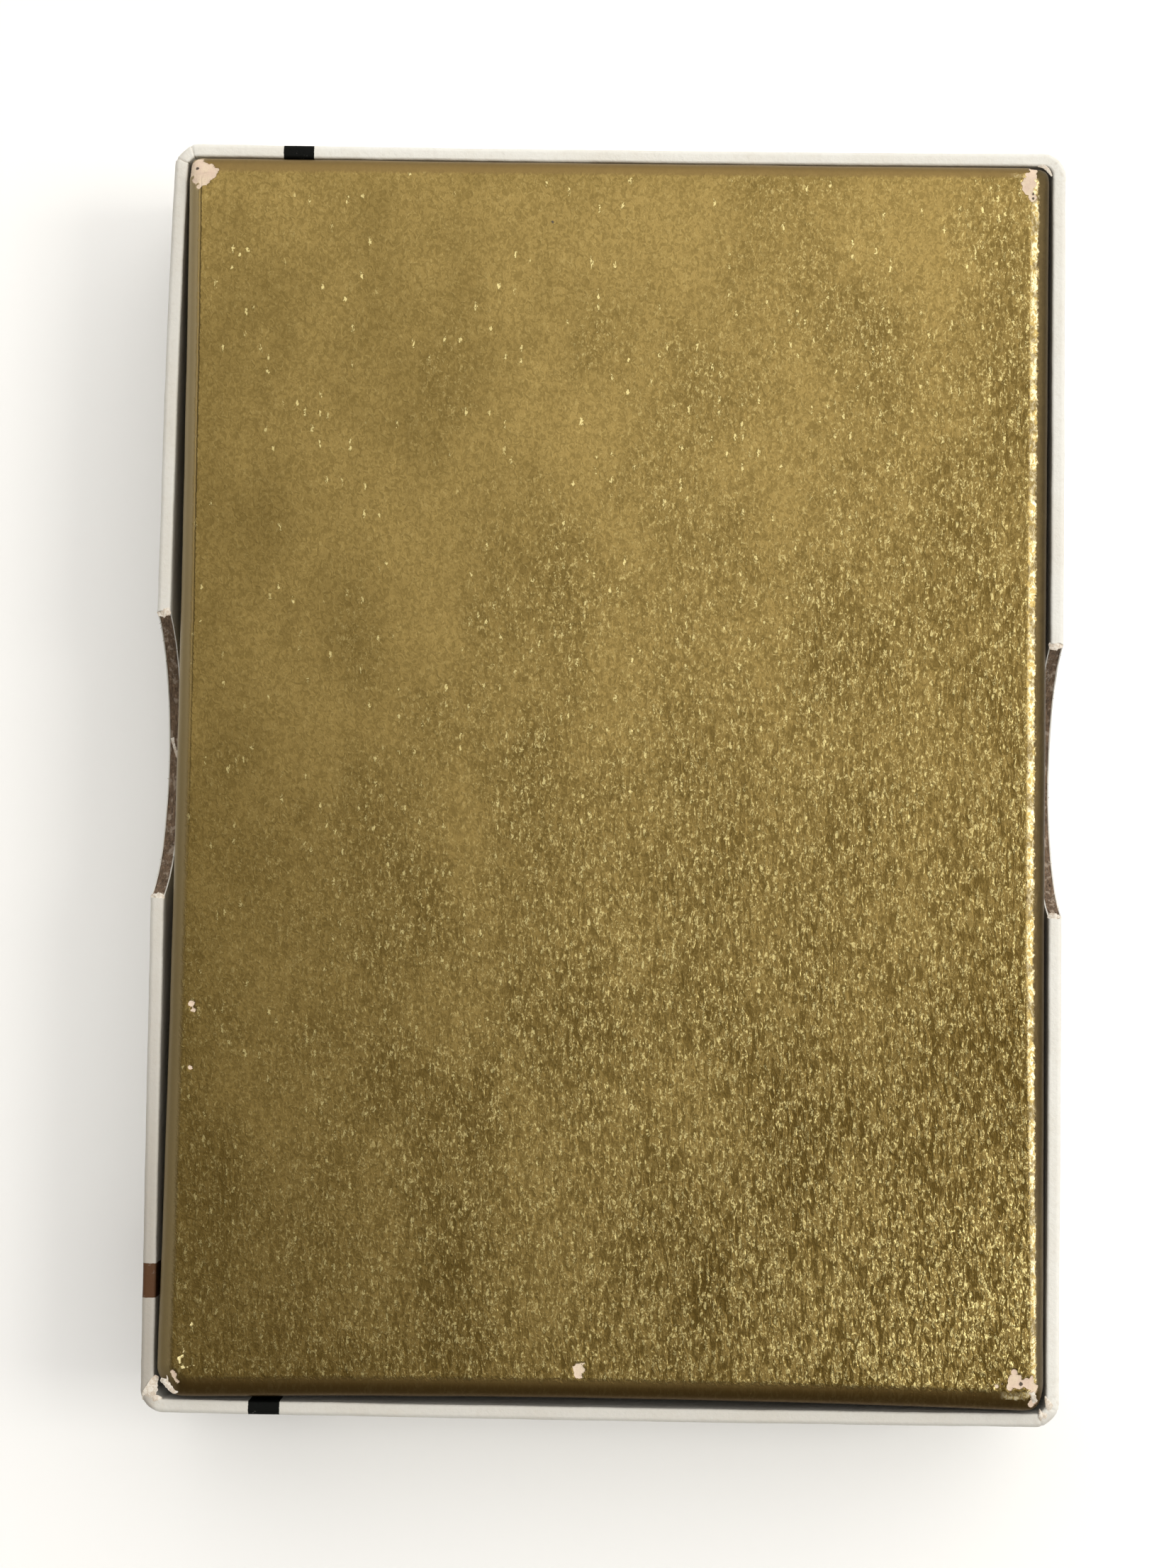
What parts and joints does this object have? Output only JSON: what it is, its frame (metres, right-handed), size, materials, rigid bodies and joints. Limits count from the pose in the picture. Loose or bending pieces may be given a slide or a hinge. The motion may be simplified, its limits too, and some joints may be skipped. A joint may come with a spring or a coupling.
{
  "type": "playing card deck box",
  "caption": "Shallow rectangular covered-board box for a deck of playing cards: a thumb-notched white lid over a gold paper tray, lying lid down.",
  "frame": {"origin": "middle of the outer face of the lid's panel, on which the closed box lies upside down", "axes": "+X across the box to its right long side, +Y along the box, +Z from the lid's panel up to the tray's base"},
  "size_m": [0.0696, 0.0974, 0.0196],
  "materials": {
    "chipboard": "raw grey-brown recycled board, fibrous and matt",
    "white_cover_paper": "coated off-white paper, slightly glossy, yellowed, with a printed black and a brown line",
    "gold_cover_paper": "gold metallic paper with a fine fibrous grain, worn through at the corners",
    "stay_paper": "brown gummed stay paper"
  },
  "bodies": {
    "lid": {"lid_board": "chipboard", "lid_wrap": "white_cover_paper", "lid_corner_stay_left_near": "stay_paper", "lid_corner_stay_left_far": "stay_paper", "lid_corner_stay_right_near": "stay_paper", "lid_corner_stay_right_far": "stay_paper"},
    "tray": {"tray_board": "chipboard", "tray_wrap": "gold_cover_paper", "tray_corner_stay_left_near": "stay_paper", "tray_corner_stay_left_far": "stay_paper", "tray_corner_stay_right_near": "stay_paper", "tray_corner_stay_right_far": "stay_paper"}
  },
  "joints": [
    {"name": "tray_lift", "type": "slide", "parent": "lid", "child": "tray", "axis": [0, 0, 1], "range_m": [0, 0.036]}
  ]
}
